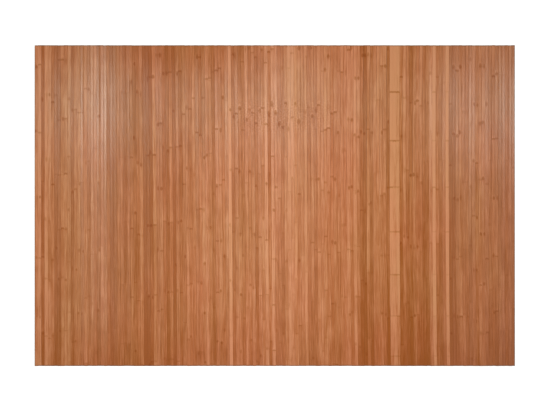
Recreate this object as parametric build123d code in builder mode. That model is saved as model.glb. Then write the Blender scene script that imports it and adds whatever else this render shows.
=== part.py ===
"""Flexible bamboo screen: a flat field of narrow bamboo slats glued side by side to one backing cloth.

The screen lies on its cloth, as it comes to rest: the slats run along Y, the width of the
screen lies along X, and the cloth's underside is at Z = 0 below the middle of the screen.
All sizes are in millimetres.
"""

import math
import os

from build123d import *

# The screen as it lies flat
screen_width = 1825.0  # across the slats
slat_length = 1219.0

# Slats: milled strips of bamboo, all of one section
slat_width = 12.1
least_slat_gap = 0.4  # the slats share out evenly what the width leaves over
slat_thickness = 5.0
edge_bevel = 0.9  # along both long edges of the show face, so a groove runs between slats
end_bevel = 0.6  # across both ends of the show face, sanded once the screen is glued up

# Backing cloth: one woven sheet that every slat is glued to
cloth_thickness = 0.9
cloth_inset = 1.0  # how far the cloth stops inside the slat ends and the outer slats

# Part files that the slats are shared out to, beside the cloth's own
most_slat_files = 59

slat_count = int((screen_width + least_slat_gap) // (slat_width + least_slat_gap))
slat_pitch = (screen_width - slat_width) / (slat_count - 1)
slats_per_file = math.ceil(slat_count / most_slat_files)


def slat_centre(index):
    """X of a slat's middle, counted from the left edge of the screen."""
    return (slat_width - screen_width) / 2 + index * slat_pitch


def make_backing_cloth():
    """The cloth that holds the slats in line and lets the screen curve between them."""
    with BuildPart() as backing_cloth:
        with BuildSketch(Plane.XY):
            Rectangle(screen_width - 2 * cloth_inset, slat_length - 2 * cloth_inset)
        extrude(amount=cloth_thickness)
    return backing_cloth.part


def make_slat_set(first, count):
    """Slats that lie side by side, each a solid of its own, with their backs on the cloth."""
    on_cloth = (Align.CENTER, Align.MIN)
    with BuildPart() as slat_set:
        with BuildSketch(Plane.XZ) as sections:
            with Locations(*[(slat_centre(first + i), cloth_thickness) for i in range(count)]):
                Rectangle(slat_width, slat_thickness, align=on_cloth)
            chamfer(sections.vertices().group_by(Axis.Y)[-1], edge_bevel)
        extrude(amount=slat_length / 2, both=True)
        with BuildSketch(Plane.YZ) as side_view:
            with Locations((0, cloth_thickness)):
                Rectangle(slat_length, slat_thickness, align=on_cloth)
            chamfer(side_view.vertices().group_by(Axis.Y)[-1], end_bevel)
        extrude(amount=screen_width, both=True, mode=Mode.INTERSECT)
    return slat_set.part


def write_parts():
    """Writes one file for the cloth and one for each set of slats."""
    os.makedirs("parts", exist_ok=True)
    backing_cloth = make_backing_cloth()
    backing_cloth.label = "backing_cloth"
    export_step(backing_cloth, "parts/backing_cloth.step")
    for number, first in enumerate(range(0, slat_count, slats_per_file), start=1):
        slat_set = make_slat_set(first, min(slats_per_file, slat_count - first))
        slat_set.label = f"slats_{number:02d}"
        export_step(slat_set, f"parts/{slat_set.label}.step")


write_parts()
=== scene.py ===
import math
import random

import bmesh
import bpy
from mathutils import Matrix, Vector


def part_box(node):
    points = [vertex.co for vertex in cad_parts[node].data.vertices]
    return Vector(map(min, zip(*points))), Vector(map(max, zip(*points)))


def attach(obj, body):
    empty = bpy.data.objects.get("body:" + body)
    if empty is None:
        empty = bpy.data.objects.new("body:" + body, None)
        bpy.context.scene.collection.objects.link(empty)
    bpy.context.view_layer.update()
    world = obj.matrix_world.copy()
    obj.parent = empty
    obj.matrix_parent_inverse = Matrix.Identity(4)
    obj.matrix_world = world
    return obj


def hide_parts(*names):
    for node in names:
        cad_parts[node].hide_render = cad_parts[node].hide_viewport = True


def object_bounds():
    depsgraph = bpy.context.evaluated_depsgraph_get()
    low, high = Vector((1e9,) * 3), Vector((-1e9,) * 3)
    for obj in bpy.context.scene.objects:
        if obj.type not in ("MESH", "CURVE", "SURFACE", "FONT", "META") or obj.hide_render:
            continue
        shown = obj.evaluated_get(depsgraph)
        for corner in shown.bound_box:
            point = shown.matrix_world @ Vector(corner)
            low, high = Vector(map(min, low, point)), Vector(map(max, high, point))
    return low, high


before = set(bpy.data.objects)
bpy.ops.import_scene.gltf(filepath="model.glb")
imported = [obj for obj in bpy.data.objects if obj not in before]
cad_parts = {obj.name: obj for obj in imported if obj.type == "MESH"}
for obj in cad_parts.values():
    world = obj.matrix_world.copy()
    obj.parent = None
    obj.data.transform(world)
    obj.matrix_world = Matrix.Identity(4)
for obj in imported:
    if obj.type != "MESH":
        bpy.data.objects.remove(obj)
cadLow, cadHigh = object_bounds()
chance = random.Random(11)


# numbers to colours and sockets

def paint(red, green, blue):  # a colour as a paint chart gives it, 0 to 255
    def linear(level):
        share = level / 255
        return share / 12.92 if share <= 0.04045 else ((share + 0.055) / 1.055) ** 2.4
    return (linear(red), linear(green), linear(blue), 1.0)


class Wire:  # a socket that takes part in sums
    def __init__(self, board, socket):
        self.board = board
        self.socket = socket

    def __add__(self, other):
        return self.board.maths("ADD", self, other)

    __radd__ = __add__

    def __sub__(self, other):
        return self.board.maths("SUBTRACT", self, other)

    def __rsub__(self, other):
        return self.board.maths("SUBTRACT", other, self)

    def __mul__(self, other):
        return self.board.maths("MULTIPLY", self, other)

    def __truediv__(self, other):
        return self.board.maths("DIVIDE", self, other)


class Board:  # one material and its nodes
    def __init__(self, name):
        self.material = bpy.data.materials.new(name)
        self.material.use_nodes = True
        self.tree = self.material.node_tree
        self.tree.nodes.clear()

    def add(self, kind, settings=None, sockets=None, out=0):
        node = self.tree.nodes.new(kind)
        for name, value in (settings or {}).items():
            setattr(node, name, value)
        for name, value in (sockets or {}).items():
            if isinstance(value, Wire):
                self.tree.links.new(value.socket, node.inputs[name])
            else:
                node.inputs[name].default_value = value
        return Wire(self, node.outputs[out]) if len(node.outputs) else node

    def maths(self, operation, first, second=0.0):
        return self.add("ShaderNodeMath", {"operation": operation}, {0: first, 1: second})

    def part(self, vector, axis):  # one number of a vector
        return self.add("ShaderNodeSeparateXYZ", None, {0: vector}, axis)

    def join(self, x, y, z):
        return self.add("ShaderNodeCombineXYZ", None, {0: x, 1: y, 2: z})

    def ramp(self, value, start, end, kind="LINEAR"):  # 0 at start, 1 at end, straight between
        sockets = {"Value": value, "From Min": start, "From Max": end}
        return self.add("ShaderNodeMapRange", {"interpolation_type": kind}, sockets)

    def step(self, value, start, end):  # the same, eased
        return self.ramp(value, start, end, "SMOOTHSTEP")

    def mix(self, factor, first, second, blend="MIX"):
        settings = {"data_type": "RGBA", "blend_type": blend}
        return self.add("ShaderNodeMix", settings, {0: factor, 6: first, 7: second}, 2)

    def dice(self, x, y):  # a random number, 0 to 1, for each pair of numbers
        return self.add("ShaderNodeTexWhiteNoise", {"noise_dimensions": "3D"}, {0: self.join(x, y, 0.5)})

    def seen(self):  # 1 to the camera, and to what mirrors or shows through, else 0
        rays = [self.add("ShaderNodeLightPath", None, None, out) for out in (0, 3, 6)]
        return self.maths("MAXIMUM", self.maths("MAXIMUM", rays[0], rays[1]), rays[2])

    def grain(self, vector, seed, detail=2.0):  # smooth noise round 0, about -1 to 1
        sockets = {"Vector": vector, "W": seed, "Scale": 1.0, "Detail": detail, "Roughness": 0.55}
        noise = self.add("ShaderNodeTexNoise", {"noise_dimensions": "4D"}, sockets)
        return (noise - 0.5) * 3.0

    def attribute(self, name):
        return self.add("ShaderNodeAttribute", {"attribute_name": name}, None, 1)

    def surface(self, sockets):
        shader = self.add("ShaderNodeBsdfPrincipled", None, sockets)
        self.add("ShaderNodeOutputMaterial", None, {"Surface": shader})
        return self.material


# camera: straight above the screen, with the photo's framing

view = {
    "photoWidth": 550,
    "screenPixels": 480.25,  # width of the screen in the photo
    "centrePixel": (274.74, 205.6),  # middle of the screen in the photo
    "photoCentre": (275.0, 206.0),
    "lens": 100,
    "sensor": 36,
    "farthest": 50,  # how far the camera sees
}


def setCamera():
    perPixel = (cadHigh.x - cadLow.x) / view["screenPixels"]
    camera = bpy.data.cameras.new("camera")
    camera.lens = view["lens"]
    camera.sensor_width = view["sensor"]
    camera.clip_end = view["farthest"]
    eye = bpy.data.objects.new("camera", camera)
    bpy.context.scene.collection.objects.link(eye)
    across = (view["photoCentre"][0] - view["centrePixel"][0]) * perPixel
    along = (view["centrePixel"][1] - view["photoCentre"][1]) * perPixel
    height = view["photoWidth"] * perPixel * view["lens"] / view["sensor"]
    eye.location = (across, along, cadHigh.z + height)
    bpy.context.scene.camera = eye
    return perPixel


perPixel = setCamera()
print("camera set,", round(perPixel * 1000, 3), "mm a pixel")


# light: one soft lamp overhead, one long strip for the satin shine, and an even sky

light = {
    "overheadPlace": (-0.08, -0.17, 1.5),
    "overheadSize": (1.6, 0.5),
    "overheadWatts": 13.4,
    "stripPlace": (0.0, 0.53, 2.5),
    "stripSize": (3.8, 0.3),
    "stripWatts": 29.5,
    "stripColour": (0.94, 1.0, 0.9),
    "sky": 0.28,
}


def addLamp(name, size, place, watts, colour, shine):
    lamp = bpy.data.lights.new(name, "AREA")
    lamp.shape = "RECTANGLE"
    lamp.size, lamp.size_y = size
    lamp.energy = watts
    lamp.color = colour
    holder = bpy.data.objects.new(name, lamp)
    holder.location = place
    holder.visible_camera = False
    holder.visible_glossy = shine
    bpy.context.scene.collection.objects.link(holder)


def setLight():
    addLamp("overhead", light["overheadSize"], light["overheadPlace"], light["overheadWatts"], (1, 1, 1),
            False)
    addLamp("strip", light["stripSize"], light["stripPlace"], light["stripWatts"], light["stripColour"],
            True)
    world = bpy.data.worlds.new("studio")
    world.use_nodes = True
    bpy.context.scene.world = world
    tree = world.node_tree
    sky = tree.nodes["Background"]
    sky.inputs["Color"].default_value = (1, 1, 1, 1)
    path = tree.nodes.new("ShaderNodeLightPath")
    level = tree.nodes.new("ShaderNodeMapRange")  # the sky looks white, and lights less than it looks
    level.inputs["To Min"].default_value = light["sky"]
    rays = path.outputs["Is Camera Ray"]
    for name in ("Is Glossy Ray", "Is Transmission Ray"):
        either = tree.nodes.new("ShaderNodeMath")
        either.operation = "MAXIMUM"
        tree.links.new(rays, either.inputs[0])
        tree.links.new(path.outputs[name], either.inputs[1])
        rays = either.outputs[0]
    tree.links.new(rays, level.inputs["Value"])
    tree.links.new(level.outputs["Result"], sky.inputs["Strength"])


setLight()
print("lights set")


# floor: plain and pale, white to the camera, and it keeps the shadow

floor = {
    "reach": 6.0,
    "drop": 0.0004,  # clear of the cloth above it
    "colour": (0.8, 0.8, 0.8, 1),
    "lift": 0.6,
}


def makeFloor():
    bm = bmesh.new()
    bmesh.ops.create_grid(bm, x_segments=1, y_segments=1, size=floor["reach"])
    bmesh.ops.translate(bm, vec=(0, 0, cadLow.z - floor["drop"]), verts=bm.verts)
    mesh = bpy.data.meshes.new("studioFloor")
    bm.to_mesh(mesh)
    bm.free()
    board = Board("paleFloor")
    base = board.add("ShaderNodeBsdfDiffuse", None, {"Color": floor["colour"]})
    glow = board.add("ShaderNodeEmission", None, {"Strength": board.seen() * floor["lift"]})
    both = board.add("ShaderNodeAddShader", None, {0: base, 1: glow})
    board.add("ShaderNodeOutputMaterial", None, {"Surface": both})
    mesh.materials.append(board.material)
    ground = bpy.data.objects.new("studioFloor", mesh)
    bpy.context.scene.collection.objects.link(ground)


makeFloor()
print("floor laid")


# slats: how each one was cut, and what its bamboo looks like

slat = {
    "count": 146,
    "perNode": 3,
    "width": 0.0124,
    "edgeRound": 0.0003,
    "endRound": 0.0005,
    "crown": 0.00006,  # rise of the face's middle
    "crossCuts": 5,
    "keepFlat": 0.0006,  # edge loops this far inside the rounded edges keep the face flat
    "heightSpread": 0.00010,
    "tiltSpread": 0.012,  # slope of a face, left to right
    "endSpread": 0.0004,
    "toneShare": 0.9,  # how much a strip's own tone, yellow and gloss count
    "yellowShare": 0.2,
    "glossShare": 0.35,
    "caneSpread": 0.07,  # tone from cane to cane, and from strip to strip of one cane
    "stripSpread": 0.13,
    "knotStart": (0, 0.3),  # height of one of a cane's knots
    "knotGap": (0.2, 0.3),
    "knotMark": 0.85,  # strength of the darkest
    "knotShift": 0.004,  # how far strips of one cane differ
}

# strips that stand out, by slat from the left: how pale (+) or dark (-)
standouts = {
    1: 0.5, 2: -0.9, 3: 0.8, 6: -0.8, 7: -0.7, 9: 0.3, 11: -0.6, 13: 0.5, 15: 0.6, 17: 0.4, 20: 0.4,
    21: 0.15, 23: -0.5, 24: -0.4, 27: -0.4, 30: -0.3, 32: 0.4, 33: -0.8, 34: -0.8, 35: -0.6, 36: 0.5,
    40: -0.5, 42: -0.8, 52: 0.5, 54: -0.5, 59: 1.2, 60: -0.5, 63: -0.5, 64: 0.4, 65: -0.4, 67: -0.5,
    70: 0.8, 72: 0.6, 74: -0.3, 75: -0.4, 77: 0.7, 78: 0.5, 82: 0.4, 85: -0.4, 86: 0.3, 88: 0.4,
    97: 0.5, 99: -0.6, 100: -1.0, 102: -0.6, 107: -0.8, 108: 1.1, 109: 1.05, 110: 0.9, 111: -0.5,
    113: -0.5, 114: -0.5, 118: -0.5, 120: 0.5, 121: 1.3, 123: -0.5, 124: 0.0, 125: 1.4, 126: -0.8,
    127: -0.8, 128: -0.3, 135: 0.4, 145: -0.5,
}

# broad changes across the screen, by distance from the middle: how pale the bamboo is, how much
# paler below than above, how yellow, how much its lacquer shines, and how dark the painted groove shade is
trend = {
    "places": (-0.92, -0.78, -0.73, -0.64, -0.58, -0.35, -0.08, 0.2, 0.37, 0.48, 0.6, 0.7, 0.92),
    "tone": (0.38, -0.14, -0.32, -0.45, -0.38, -0.34, 0.09, -0.02, 0.05, 0.05, -0.03, -0.15, -0.42),
    "slope": (0.0, 0.05, 0.08, 0.1, 0.1, 0.08, 0.02, -0.12, -0.36, -0.38, -0.3, -0.15, -0.08),
    "yellow": (0.25, 0.3, 0.3, 0.2, 0.2, 0.1, 0.0, 0.0, 0.0, 0.15, 0.15, 0.0, -0.2),
    "shine": (0.13, 0.32, 0.54, 0.58, 0.3, 0.27, 0.32, 0.19, 0.12, 0.05, 0.2, 0.31, 0.42),
    "grooveShadeStrength": (0.2, 0.3, 0.3, 0.3, 0.1, 0.2, 0.6, 0.7, 1.0, 0.8, 0.5, 0.4, 0.6),
}

# canes whose knots stand out: slats, height of one knot, spacing, strength; below zero it's a fine line
canes = [
    {"slats": (108, 109, 110), "knot": 0.070, "gap": 0.173, "mark": -0.5},
    {"slats": (121, 125), "knot": 0.070, "gap": 0.173, "mark": -0.25},
    {"slats": (114, 115, 116), "knot": 0.1125, "gap": 0.277, "mark": 0.7},
    {"slats": (95, 96), "knot": 0.072, "gap": 0.250, "mark": 0.6},
    {"slats": (2,), "knot": 0.094, "gap": 0.300, "mark": 0.7},
    {"slats": (46, 47), "knot": -0.085, "gap": 0.218, "mark": 0.5},
    {"slats": (13, 14), "knot": 0.090, "gap": 0.262, "mark": 0.5},
]

# a patch where many neighbours happen to have a knot, and its knots are darker
knotPatch = {
    "from": 58,
    "to": 92,
    "middle": 0.03,
    "height": 0.34,
    "spread": 0.06,
    "fadeAside": (0.12, 0.26),
    "fadeAbove": (0.03, 0.09),
}

# how far slats lean and bow to the right on their way down, by distance from the middle
drift = {
    "places": (-0.92, -0.78, -0.66, -0.50, 0.00, 0.25, 0.40, 0.75, 0.92),
    "lean": (0.0, 0.0005, 0.0016, 0.0047, 0.0044, 0.0028, 0.0022, 0.0023, 0.0),
    "bow": (0.0, 0.0013, 0.0, -0.0018, 0.0004, 0.0028, 0.0032, 0.0030, 0.0),
    "bowRest": 0.3,  # keeps a bowed slat about its own middle
}


def between(places, values, at):  # the value at a place, straight between the given ones
    for left, right, low, high in zip(places, places[1:], values, values[1:]):
        if at <= right:
            return low + (high - low) * (at - left) / (right - left)
    return values[-1]


def planSlats():
    plans = []
    while len(plans) < slat["count"]:
        shared = chance.gauss(0, slat["caneSpread"])
        cane = {
            "knot": chance.uniform(*slat["knotStart"]),
            "gap": chance.uniform(*slat["knotGap"]),
            "mark": chance.random() * slat["knotMark"],
        }
        for _ in range(chance.choice((1, 1, 1, 2, 2, 3))):
            plan = dict(cane)
            plan["tone"] = shared + chance.gauss(0, slat["stripSpread"])
            plan["yellow"] = chance.uniform(-1, 1)
            plan["gloss"] = chance.uniform(-1, 1)
            chance.random()  # a spare draw, which keeps the later ones in order
            plan["knot"] += chance.uniform(-slat["knotShift"], slat["knotShift"])
            plans.append(plan)
    plans = plans[:slat["count"]]
    for index, tone in standouts.items():
        plans[index]["tone"] = tone
    for plan in plans[knotPatch["from"]:knotPatch["to"]]:
        plan["knot"] = knotPatch["height"] + chance.uniform(-1, 1) * knotPatch["spread"]
    for cane in canes:
        for index in cane["slats"]:
            for key in ("knot", "gap", "mark"):
                plans[index][key] = cane[key]
    return plans


def makeBlank(low, high, length):  # one slat, centred across and along
    bm = bmesh.new()
    bmesh.ops.create_cube(bm, size=1)
    bmesh.ops.scale(bm, vec=(slat["width"], length, high - low), verts=bm.verts)
    bmesh.ops.translate(bm, vec=(0, 0, (high + low) / 2), verts=bm.verts)
    tiny = 1e-6
    top = [e for e in bm.edges if min(v.co.z for v in e.verts) > high - tiny]
    sides = [e for e in top if abs(e.verts[0].co.x - e.verts[1].co.x) < tiny]
    bmesh.ops.bevel(bm, geom=sides, offset=slat["edgeRound"], offset_type="OFFSET", segments=2,
                    profile=0.5, affect="EDGES", material=-1)
    ends = [e for e in bm.edges if min(abs(v.co.y) for v in e.verts) > length / 2 - tiny
            and min(v.co.z for v in e.verts) > low + tiny
            and e.verts[0].co.y * e.verts[1].co.y > 0]
    bmesh.ops.bevel(bm, geom=ends, offset=slat["endRound"], offset_type="OFFSET", segments=2,
                    profile=0.5, affect="EDGES", material=-1)
    flatEnd = length / 2 - slat["endRound"] - slat["keepFlat"]
    flatSide = slat["width"] / 2 - slat["edgeRound"] - slat["keepFlat"]
    acrossCuts = [length * (cut / (slat["crossCuts"] + 1) - 0.5) for cut in range(1, slat["crossCuts"] + 1)]
    for axis, cuts in ((1, acrossCuts + [-flatEnd, flatEnd]), (0, (-flatSide, 0, flatSide))):
        for cut in cuts:
            place, normal = Vector(), Vector()
            place[axis], normal[axis] = cut, 1
            bmesh.ops.bisect_plane(bm, geom=bm.verts[:] + bm.edges[:] + bm.faces[:],
                                   plane_co=place, plane_no=normal)
    for face in bm.faces:
        face.smooth = True
        face.material_index = 1 if abs(face.normal.y) > 0.9 else 0
    for name in ("slatTone", "slatKnots", "slatPlace"):
        bm.verts.layers.float_vector.new(name)
    mesh = bpy.data.meshes.new("slatBlank")
    bm.to_mesh(mesh)
    bm.free()
    return mesh


def placeSlat(bm, verts, centre, low, high, length, plan):
    tone, knots, place = (bm.verts.layers.float_vector[n] for n in ("slatTone", "slatKnots", "slatPlace"))
    lift = chance.uniform(-1, 1) * slat["heightSpread"] - slat["heightSpread"]
    tilt = chance.uniform(-1, 1) * slat["tiltSpread"]
    shift = chance.uniform(-1, 1) * slat["endSpread"]
    broad = {name: between(trend["places"], trend[name], centre) for name in trend if name != "places"}
    glow = slat["toneShare"] * plan["tone"] + broad["tone"]
    yellow = slat["yellowShare"] * plan["yellow"] + broad["yellow"]
    shine = broad["shine"] * (1 + slat["glossShare"] * plan["gloss"])
    middle = (low + high) / 2
    for vert in verts:
        x, y, z = vert.co
        across = x / (slat["width"] / 2)
        down = -y / (length / 2)
        if z > middle:
            z += lift + tilt * x - slat["crown"] * across * across
        vert[place] = (across, down, broad["grooveShadeStrength"])
        vert[tone] = (glow + broad["slope"] * down, yellow, shine)
        vert[knots] = (plan["knot"], plan["gap"], plan["mark"])
        x += centre
        lean = between(drift["places"], drift["lean"], x)
        bow = between(drift["places"], drift["bow"], x)
        vert.co = (x + lean * down + bow * (down * down - drift["bowRest"]), y + shift, z)


def makeSlats(materials):
    plans = planSlats()
    low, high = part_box("slats_01")
    length = high.y - low.y
    left = cadLow.x + slat["width"] / 2
    pitch = (cadHigh.x - cadLow.x - slat["width"]) / (slat["count"] - 1)
    blank = makeBlank(low.z, high.z, length)
    nodes = sorted(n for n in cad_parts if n.startswith("slats_"))
    for number, node in enumerate(nodes):
        bm = bmesh.new()
        first = number * slat["perNode"]
        for index in range(first, min(first + slat["perNode"], slat["count"])):
            start = len(bm.verts)
            bm.from_mesh(blank)
            placeSlat(bm, bm.verts[start:], left + index * pitch, low.z, high.z, length, plans[index])
        mesh = bpy.data.meshes.new("bamboo_" + node)
        bm.to_mesh(mesh)
        bm.free()
        for material in materials:
            mesh.materials.append(material)
        piece = bpy.data.objects.new("bamboo_" + node, mesh)
        bpy.context.scene.collection.objects.link(piece)
        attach(piece, "root")
        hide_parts(node)
    bpy.data.meshes.remove(blank)


# bamboo: lacquered strip, with streaks, flecks, knots and a faint painted shade line in each groove

bamboo = {
    "dark": paint(151, 82, 30),
    "middle": paint(178, 108, 64),
    "pale": paint(204, 138, 98),
    "red": (1.04, 0.94, 0.95, 1),
    "yellow": (0.98, 1.05, 0.96, 1),
    "knot": paint(120, 44, 0),
    "stain": (1, 0.96, 0.5, 1),  # what a knot's edge does to the bamboo round it
    # painted shade in the grooves, and the colour of the end grain's pores
    "groove": paint(90, 38, 8),
    "rim": paint(96, 66, 40),  # darker in a narrow rim all round the screen
    "rimShare": 0.6,
    "ends": paint(150, 98, 62),
    "roughness": 0.55,
    "coatRoughness": 0.26,
    "coatIor": 1.7,
    "bumpDepth": 0.0003,
    "pores": 1400.0,  # dots of the end grain, to a metre
}

# noise along one slat: how fast it changes across, along and upward, what it adds to the seed, and
# its detail
strands = {
    "slow": (0.0, 2.2, 0.0, 9.0, 1.0),
    "wide": (1.3, 3.0, 200.0, 0.0, 2.0),
    "fine": (2.3, 14.0, 900.0, 5.0, 2.0),
    "fibres": (11.0, 26.0, 900.0, 21.0, 2.0),
    "flecks": (2.2, 24.0, 200.0, 14.0, 2.0),
}

# noise that crosses the slats: how fast it changes across and along, and its seed
clouds = {
    "mottle": (30.0, 14.0, 2.0),
    "specks": (170.0, 150.0, 3.0),
    "warmth": (6.0, 2.5, 7.0),
}

# how much each noise counts in the tone
weights = {"wide": 0.48, "fine": 0.9, "fibres": 0.35, "slow": 0.35, "mottle": 0.35, "specks": 0.8}

# knots: sizes that fade run from full to nothing
knot = {
    "closing": 0.021,  # knots stand a little further apart up the cane
    "stray": 0.014,
    "arch": 0.005,
    "dash": (0.0010, 0.0046),  # up and down from its middle
    "spot": (0.0015, 0.0062),  # outward from its middle
    "rim": (0.002, 0.009),  # up and down from the rim's middle
    "rimLift": 0.008,  # how far the pale rim lies above its knot
    "most": 0.46,
}

# lacquer: how it pools on a slat, and where it shines less
lacquer = {
    "poolWander": 1.6,  # how far to the side its thickest line may lie
    "poolRise": 0.6,
    "poolFall": 1.2,
    "headFade": (-0.72, -1.02),
    "waveShift": 0.3,  # near the top the shine ends in a wave
    "wavePace": 8.7,
    "waveSwing": 0.25,
    "waveMiddle": 0.5,
    "cornerFade": (-0.3, -0.7),  # the lower left corner is duller
    "cornerShare": 0.6,
    "plainShare": 1.4,  # so are canes with fine lines for knots
}


def readSlat(board):  # where a point lies on its slat, and what that slat was given
    at = {}
    point = board.add("ShaderNodeTexCoord", None, None, 3)
    for vector, names in (
        (point, ("x", "y", "z")),
        (board.attribute("slatPlace"), ("across", "down", "grooveShadeStrength")),
        (board.attribute("slatTone"), ("tone", "yellow", "shine")),
        (board.attribute("slatKnots"), ("knot", "gap", "mark")),
    ):
        for axis, name in enumerate(names):
            at[name] = board.part(vector, axis)
    at["seed"] = at["yellow"] * 150.0 + at["knot"] * 91.0
    at["plain"] = board.maths("LESS_THAN", at["mark"], 0.0)  # 1 where knots are fine lines
    at["foot"] = board.step(at["down"], 0.6, 1.05)  # 1 at the lower end
    at["head"] = board.step(at["down"], -0.6, -0.95)  # 1 at the upper end
    at["upper"] = board.step(at["down"], 0.35, -0.4)  # 1 in the upper third
    return at


def readNoise(board, at, patch):
    noise = {}
    for name, (across, along, upward, shift, detail) in strands.items():
        vector = board.join(at["across"] * across, at["y"] * along, at["z"] * upward)
        noise[name] = board.grain(vector, at["seed"] + shift, detail)
    for name, (across, along, seed) in clouds.items():
        noise[name] = board.grain(board.join(at["x"] * across, at["y"] * along, 0.0), seed)
    noise["specks"] = noise["specks"] * patch
    return noise


def findPatch(board, at):  # 1 where many knots crowd together, 0 well away from there
    aside = board.maths("ABSOLUTE", at["x"] - knotPatch["middle"])
    above = board.maths("ABSOLUTE", at["y"] - knotPatch["height"])
    return (1 - board.step(aside, *knotPatch["fadeAside"])) * (1 - board.step(above, *knotPatch["fadeAbove"]))


def drawKnots(board, at, patch):  # a dash across the slat, a spot within it, or both, and a paler rim
    climb = (at["y"] - at["knot"]) / at["gap"]
    turn = climb - climb * climb * knot["closing"]
    nearest = board.maths("ROUND", turn)
    one, two, three = (board.dice(nearest + shift, at["seed"]) for shift in (0.0, 0.37, 0.71))
    natural = 1 - at["plain"]
    arch = at["across"] * at["across"] * (three - 0.5) * knot["arch"]
    away = (turn - nearest) * at["gap"] + (one - 0.5) * knot["stray"] * natural + arch
    dashed = board.maths("MAXIMUM", board.step(two, 0.6, 0.25), at["plain"])
    dash = (1 - board.step(board.maths("ABSOLUTE", away), *knot["dash"])) * dashed
    aside = (at["across"] - (one - 0.5) * 1.1) * (slat["width"] / 2)
    upright = away * (three * 0.4 + 0.35)
    radius = board.maths("SQRT", aside * aside + upright * upright)
    spot = (1 - board.step(radius, *knot["spot"])) * board.step(two, 0.3, 0.6) * natural
    heavy = three * 0.9 + 0.35 + patch
    strength = board.maths("ABSOLUTE", at["mark"]) * heavy * (1.0 - at["down"] * 0.4)
    dark = board.maths("MINIMUM", (dash * 0.8 + spot) * strength, knot["most"])
    rim = (1 - board.step(board.maths("ABSOLUTE", away - knot["rimLift"]), *knot["rim"])) * strength
    return turn, dark, rim


def drawGrooveShade(board, at):  # painted shade: a dark line along both edges, in some places and mostly above
    edge = board.step(board.maths("ABSOLUTE", at["across"]), 0.74, 0.98)
    side = board.maths("SIGN", at["across"])
    # noise that makes the painted groove shade patchy
    stain = board.grain(board.join(side * 3.0, at["y"] * 2.5, 0.0), at["seed"] + 30.0)
    patchy = board.step(stain, -0.2, 0.7) * 0.8 + 0.2
    return edge * patchy * (1 - at["plain"]) * at["upper"] * at["grooveShadeStrength"] * 0.75


def drawLacquer(board, at, wide, dark):  # how much it shines: it lies thicker above
    shine = at["shine"]
    flow = at["across"] - (board.dice(at["seed"], 1.0) - 0.5) * lacquer["poolWander"]
    pool = shine * shine * at["upper"] * (lacquer["poolRise"] - flow * flow * lacquer["poolFall"])
    film = board.maths("MAXIMUM", 1 + pool, 0.0) * shine
    turn = board.maths("COSINE", (at["x"] + lacquer["waveShift"]) * lacquer["wavePace"])
    wave = turn * lacquer["waveSwing"] + lacquer["waveMiddle"]
    fade = board.step(at["down"], *lacquer["headFade"]) * wave
    corner = at["foot"] * board.step(at["x"], *lacquer["cornerFade"]) * lacquer["cornerShare"]
    dull = at["plain"] * at["mark"] * -lacquer["plainShare"] + corner
    worn = board.maths("MAXIMUM", fade, dull)
    return board.maths("MINIMUM", film * (1.0 + wide * 0.3) * (1 - dark) * (1 - worn), 1.0)


def makeBamboo():
    board = Board("lacqueredBamboo")
    at = readSlat(board)
    patch = findPatch(board, at)
    noise = readNoise(board, at, patch)
    turn, dark, rim = drawKnots(board, at, patch)

    # tone of the whole, as a place between dark and pale
    flecks = noise["flecks"]
    fleck = board.step(flecks, 0.5, 0.95) * 0.65 - board.step(flecks, -0.5, -0.95) * 0.6
    streaks = sum(noise[name] * weight for name, weight in weights.items()) - fleck
    joint = board.dice(board.maths("FLOOR", turn), at["seed"] + 3.0) - 0.5  # the tone changes at a knot
    foot = at["foot"] * (at["x"] * 0.1 + 0.22)  # the lower ends are darker, more so to the right
    tone = at["tone"] + joint * 0.45 + streaks + rim * 0.2 - foot
    low = board.mix(board.ramp(tone, -1.0, 0.0), bamboo["dark"], bamboo["middle"])
    body = board.mix(board.ramp(tone, 0.0, 1.0), low, bamboo["pale"])

    # both ends are a little redder, the upper one more
    warmth = noise["warmth"] + at["yellow"] - at["down"] * 0.15 - at["head"] * 0.6 - at["foot"] * 0.3
    tint = board.mix(board.step(warmth, -1.0, 1.0), bamboo["red"], bamboo["yellow"])
    tinted = board.mix(1.0, body, tint, "MULTIPLY")

    stained = board.mix(board.maths("MINIMUM", dark * 1.3, 1.0), tinted, bamboo["stain"], "MULTIPLY")
    marked = board.mix(dark, stained, bamboo["knot"])
    # painted shade: a dark line along the grooves
    grooveShaded = board.mix(drawGrooveShade(board, at), marked, bamboo["groove"])
    sides = board.step(board.maths("ABSOLUTE", at["x"]), 0.9088, 0.9118)
    ends = board.step(board.maths("ABSOLUTE", at["down"]), 0.9915, 0.998)
    outside = board.maths("MAXIMUM", sides, ends) * bamboo["rimShare"]

    height = noise["fibres"] * 0.3 + noise["fine"] * 0.3 + noise["wide"] * 0.2
    sockets = {"Strength": 0.25, "Distance": bamboo["bumpDepth"], "Height": height}
    return board.surface({
        "Base Color": board.mix(outside, grooveShaded, bamboo["rim"]),
        "Roughness": noise["fine"] * 0.05 + bamboo["roughness"],
        "Specular IOR Level": 0.1,
        "Coat Weight": drawLacquer(board, at, noise["wide"], dark),
        "Coat Roughness": bamboo["coatRoughness"],
        "Coat IOR": bamboo["coatIor"],
        "Normal": board.add("ShaderNodeBump", None, sockets),
    })


def makeEndGrain():
    board = Board("bambooEndGrain")
    point = board.add("ShaderNodeTexCoord", None, None, 3)
    cells = board.add("ShaderNodeTexVoronoi", None, {"Vector": point, "Scale": bamboo["pores"]}, 0)
    dots = 1 - board.step(cells, 0.15, 0.4)
    colour = board.mix(dots * 0.7, bamboo["ends"], bamboo["groove"])
    return board.surface({"Base Color": colour, "Roughness": 0.75})


makeSlats([makeBamboo(), makeEndGrain()])
print("slats made")


# backing cloth: one sheet of plain weave under all the slats

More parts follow.
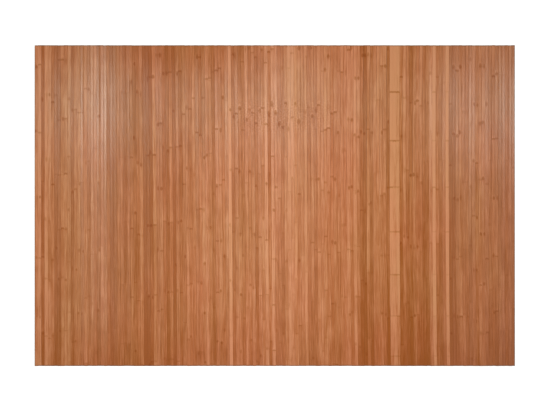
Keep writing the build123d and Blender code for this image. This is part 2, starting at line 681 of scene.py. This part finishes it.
cloth = {
    "rows": 24,
    "thread": 0.0009,
    "pitch": 0.0125,  # slats behind it, whose gaps show as faint furrows
    "warp": paint(150, 128, 98),
    "weft": paint(124, 102, 76),
    # the darker colour of worn patches and slubs, and painted shade along the furrows
    "wearAndFurrowShadeColour": paint(82, 66, 50),
    "bumpDepth": 0.0002,
    "furrowDepth": 1.5,  # in threads
}


def makeWeave():
    board = Board("wovenBacking")
    point = board.add("ShaderNodeTexCoord", None, None, 3)
    x = board.part(point, 0)
    y = board.part(point, 1)
    turns = math.pi / cloth["thread"]
    warp = board.maths("SINE", x * turns)
    weft = board.maths("SINE", y * turns)
    over = warp * weft
    slatTurn = (x - cadLow.x - slat["width"] / 2) / cloth["pitch"]
    offGap = board.maths("ABSOLUTE", slatTurn - board.maths("FLOOR", slatTurn) - 0.5)
    furrow = 1 - board.step(offGap, 0.0, 0.1)
    worn = board.grain(board.join(x * 3, y * 3, 0.0), 1.0, 4.0)
    slub = board.grain(board.join(x * 12, y * 600, 0.0), 4.0)
    mixed = board.mix(board.step(over, -0.6, 0.6), cloth["warp"], cloth["weft"])
    # worn patches and slubs darken the cloth, and painted shade darkens it along the furrows
    wearAndFurrowShade = board.step(worn * 0.5 + slub * 0.4 + furrow * 0.35, -0.2, 1.4)
    colour = board.mix(wearAndFurrowShade, mixed, cloth["wearAndFurrowShadeColour"])
    height = over - furrow * cloth["furrowDepth"]
    sockets = {"Strength": 0.6, "Distance": cloth["bumpDepth"], "Height": height}
    bump = board.add("ShaderNodeBump", None, sockets)
    return board.surface({"Base Color": colour, "Roughness": 0.9, "Normal": bump})


def makeCloth():
    low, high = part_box("backing_cloth")
    bm = bmesh.new()
    bmesh.ops.create_cube(bm, size=1)
    bmesh.ops.scale(bm, vec=high - low, verts=bm.verts)
    bmesh.ops.translate(bm, vec=(high + low) / 2, verts=bm.verts)
    for axis in (0, 1):
        for cut in range(1, cloth["rows"]):
            place, normal = Vector(), Vector()
            place[axis] = low[axis] + (high[axis] - low[axis]) * cut / cloth["rows"]
            normal[axis] = 1
            bmesh.ops.bisect_plane(bm, geom=bm.verts[:] + bm.edges[:] + bm.faces[:],
                                   plane_co=place, plane_no=normal)
    mesh = bpy.data.meshes.new("backingCloth")
    bm.to_mesh(mesh)
    bm.free()
    mesh.materials.append(makeWeave())
    piece = bpy.data.objects.new("backingCloth", mesh)
    bpy.context.scene.collection.objects.link(piece)
    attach(piece, "root")
    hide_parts("backing_cloth")


makeCloth()
print("backing cloth made")


bpy.context.scene.view_settings.view_transform = "Standard"
